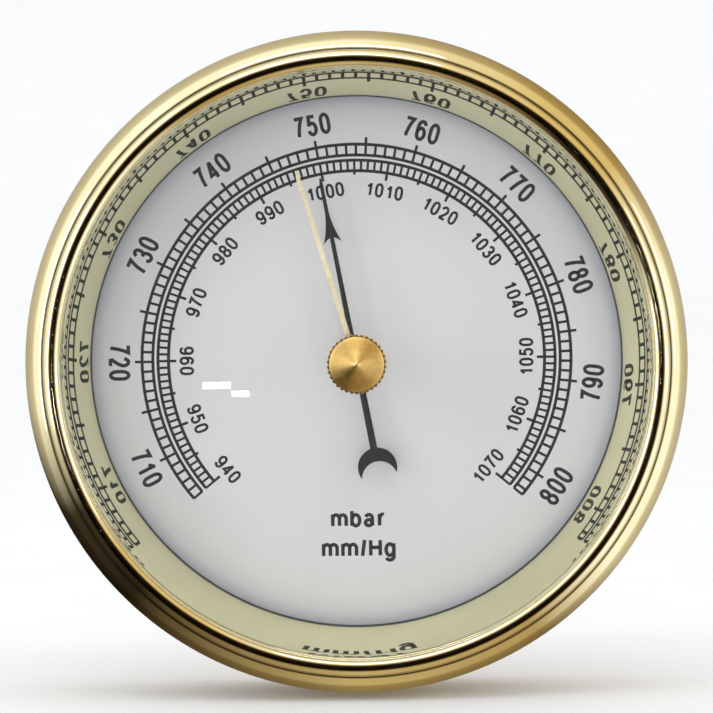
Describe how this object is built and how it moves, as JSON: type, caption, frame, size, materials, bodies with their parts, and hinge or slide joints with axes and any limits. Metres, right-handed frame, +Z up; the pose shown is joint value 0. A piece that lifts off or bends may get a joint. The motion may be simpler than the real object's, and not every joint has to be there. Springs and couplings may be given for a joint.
{
  "type": "aneroid barometer",
  "caption": "Round wall barometer: beaded bezel, mirror ring, printed dial, pointer, set hand worked by a centre knob, and a capsule movement in a drawn case.",
  "frame": {"origin": "centre of the flat case back, on the wall", "axes": "+Z up and +X to the reader's right as hung; the dial faces -Y and the back faces +Y"},
  "size_m": [0.128, 0.045, 0.128],
  "materials": {
    "polished_brass": "polished and lacquered",
    "lacquered_brass": "drawn, lightly brushed and lacquered",
    "mirror_brass": "pale mirror polish",
    "satin_brass": "satin",
    "pale_gold": "bright",
    "capsule_bronze": "rolled",
    "plain_steel": "turned and ground",
    "spring_steel": "blued",
    "black_paint": "satin black",
    "white_enamel": "printed white enamel",
    "black_rubber": "matt",
    "pale_nylon": "matt",
    "crystal_glass": "clear polished"
  },
  "bodies": {
    "case": {"rear_case": "lacquered_brass", "keyhole_cover": "plain_steel", "bezel": "polished_brass", "reflector_ring": "mirror_brass", "crystal": "crystal_glass", "crystal_gasket": "black_rubber", "dial_plate": "white_enamel", "dial_foot_1": "satin_brass", "dial_foot_2": "satin_brass", "dial_foot_3": "satin_brass", "base_plate": "plain_steel", "base_boss_1": "satin_brass", "base_boss_2": "satin_brass", "base_boss_3": "satin_brass", "base_screw_1": "plain_steel", "base_screw_2": "plain_steel", "base_screw_3": "plain_steel", "capsule_leaf": "spring_steel", "leaf_spacer": "satin_brass", "leaf_screw_1": "plain_steel", "leaf_screw_2": "plain_steel", "capsule_lower": "capsule_bronze", "capsule_stud": "satin_brass", "capsule_nut": "satin_brass", "lower_plate": "satin_brass", "upper_plate": "satin_brass", "lower_pillar_1": "satin_brass", "upper_pillar_1": "satin_brass", "plate_screw_1": "plain_steel", "lower_pillar_2": "satin_brass", "upper_pillar_2": "satin_brass", "plate_screw_2": "plain_steel", "lower_pillar_3": "satin_brass", "upper_pillar_3": "satin_brass", "plate_screw_3": "plain_steel", "shaft_post_left": "satin_brass", "shaft_post_right": "satin_brass", "hairspring_stud": "satin_brass", "knob_washer": "pale_nylon"},
    "sector": {"sector_gear": "satin_brass", "sector_arbor": "plain_steel"},
    "pointer_group": {"pointer_arbor": "plain_steel", "pointer": "black_paint", "pointer_collet": "satin_brass", "hairspring_collet": "satin_brass", "hairspring": "spring_steel"},
    "rocking_shaft_group": {"rocking_shaft": "plain_steel", "lift_arm": "plain_steel", "push_arm": "plain_steel"},
    "capsule_top": {"capsule_post": "satin_brass", "capsule_upper": "capsule_bronze"},
    "set_hand_group": {"set_knob": "satin_brass", "set_hand": "pale_gold", "set_hand_collar": "satin_brass", "spring_washer": "spring_steel"},
    "adjuster": {"adjusting_screw": "satin_brass"}
  },
  "joints": [
    {"name": "pointer_turn", "type": "hinge", "parent": "case", "child": "pointer_group", "pos_m": [0, -0.022, 0], "axis": [0, -1, 0], "range_deg": [-140.6, 119.4], "stiffness_Nm_per_rad": 0.0005, "deforming": ["hairspring"]},
    {"name": "sector_turn", "type": "hinge", "parent": "case", "child": "sector", "pos_m": [0.01567, -0.0195, 0.0041], "axis": [0, -1, 0], "range_deg": [-14.94, 17.59]},
    {"name": "rocking_shaft_turn", "type": "hinge", "parent": "case", "child": "rocking_shaft_group", "pos_m": [0, -0.0142, 0.003], "axis": [1, 0, 0], "range_deg": [-11.2, 13.19]},
    {"name": "capsule_flex", "type": "slide", "parent": "case", "child": "capsule_top", "axis": [0, -1, 0], "range_m": [-0.00069, 0.00059], "deforming": ["capsule_upper"]},
    {"name": "set_hand_turn", "type": "hinge", "parent": "case", "child": "set_hand_group", "pos_m": [0, -0.038, 0], "axis": [0, -1, 0], "continuous": true},
    {"name": "adjusting_screw_turn", "type": "hinge", "parent": "case", "child": "adjuster", "pos_m": [0, -0.001, -0.027], "axis": [0, -1, 0], "range_deg": [-270, 270]}
  ],
  "couplings": [
    {"joint": "pointer_turn", "follows": "capsule_flex", "rad_per_m": 3555.6},
    {"joint": "sector_turn", "follows": "capsule_flex", "rad_per_m": -444.44},
    {"joint": "rocking_shaft_turn", "follows": "capsule_flex", "rad_per_m": -333.33}
  ]
}
